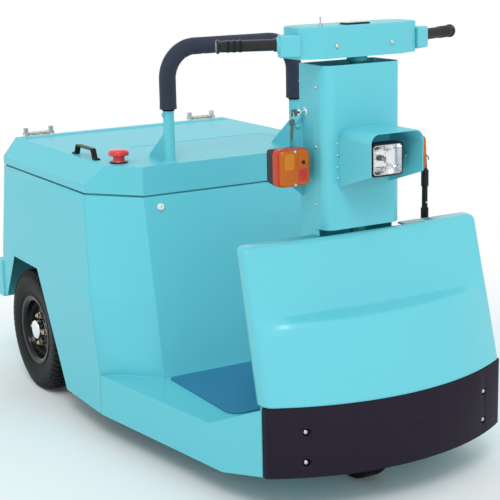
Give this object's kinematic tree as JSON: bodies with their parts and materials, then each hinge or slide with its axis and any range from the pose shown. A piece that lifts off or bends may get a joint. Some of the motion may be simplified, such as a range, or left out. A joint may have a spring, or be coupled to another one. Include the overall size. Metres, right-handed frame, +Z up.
{
  "type": "airport baggage tug",
  "caption": "Stand-on battery tow tractor: moulded front cowl, curved rubber bumper, steering column with swept grips, low platform, hinged battery lid with hip hoop, and a rear pin hitch.",
  "frame": {"origin": "centre of the object's footprint box, on the floor", "axes": "-Y forward (the way it drives), +X towards the machine's left, +Z up"},
  "size_m": [0.9998, 1.91, 1.305],
  "materials": {
    "body_paint": "gloss",
    "cowl_paint": "gloss",
    "frame_paint": "satin",
    "bar_paint": "gloss",
    "bumper_rubber": "matte",
    "mat_rubber": "matte",
    "tyre": "matte",
    "rim_paint": "gloss",
    "zinc": "satin",
    "chrome": "polished",
    "cast": "satin",
    "battery_case": "satin",
    "foam": "matte",
    "grip_rubber": "matte",
    "black_plastic": "satin",
    "stop_red": "gloss",
    "amber": "gloss",
    "lamp_lens": "gloss",
    "lock_white": "gloss"
  },
  "bodies": {
    "chassis": {"chassis_frame": "frame_paint", "cross_members": "frame_paint", "battery_tray": "frame_paint", "side_panel_right": "body_paint", "side_panel_left": "body_paint", "front_panel": "body_paint", "rear_panel": "body_paint", "rear_beam": "body_paint", "tow_hitch": "frame_paint", "hitch_pin": "zinc", "rear_axle": "cast", "drive_motor": "cast", "battery": "battery_case", "platform": "body_paint", "platform_mat": "mat_rubber", "nose_frame": "body_paint", "toe_board": "body_paint", "cowl": "cowl_paint", "bumper": "bumper_rubber", "column_back": "body_paint", "column_cover": "body_paint", "steering_head": "frame_paint", "lamp_hood": "body_paint", "headlamp_body": "black_plastic", "headlamp_lens": "lamp_lens", "signal_brackets": "body_paint", "signal_bases": "black_plastic", "signal_lenses": "amber", "key_switch": "zinc", "parking_lever": "black_plastic", "lid_lock": "lock_white", "hinge_leaves_fixed": "zinc"},
    "lid": {"lid_cap": "body_paint", "lid_handle": "black_plastic", "stop_base": "black_plastic", "stop_button": "stop_red", "hoop_tube": "body_paint", "hoop_foam": "foam", "hinge_leaves_moving": "zinc"},
    "steering": {"steering_shaft": "frame_paint", "bar_housing": "bar_paint", "bar_blocks": "bar_paint", "grips": "grip_rubber", "dash_display": "black_plastic", "toggle_switch": "chrome", "horn_button": "lock_white", "steering_fork": "frame_paint"},
    "front_wheel": {"front_tyre": "tyre", "front_rim": "rim_paint"},
    "rear_wheel_right": {"rear_tyre_right": "tyre", "rear_rim_right": "rim_paint", "hub_cap_right": "chrome"},
    "rear_wheel_left": {"rear_tyre_left": "tyre", "rear_rim_left": "rim_paint", "hub_cap_left": "chrome"}
  },
  "joints": [
    {"name": "steering", "type": "hinge", "parent": "chassis", "child": "steering", "pos_m": [0, -0.7, 0.355], "axis": [0, 0, 1], "range_deg": [-50, 50]},
    {"name": "front_wheel_spin", "type": "hinge", "parent": "steering", "child": "front_wheel", "pos_m": [0, -0.7, 0.12], "axis": [1, 0, 0], "continuous": true},
    {"name": "rear_wheel_right_spin", "type": "hinge", "parent": "chassis", "child": "rear_wheel_right", "pos_m": [-0.428, 0.555, 0.2075], "axis": [1, 0, 0], "continuous": true},
    {"name": "rear_wheel_left_spin", "type": "hinge", "parent": "chassis", "child": "rear_wheel_left", "pos_m": [0.428, 0.555, 0.2075], "axis": [1, 0, 0], "continuous": true},
    {"name": "lid_hinge", "type": "hinge", "parent": "chassis", "child": "lid", "pos_m": [0, 0.804, 0.845], "axis": [-1, 0, 0], "range_deg": [0, 75]}
  ]
}
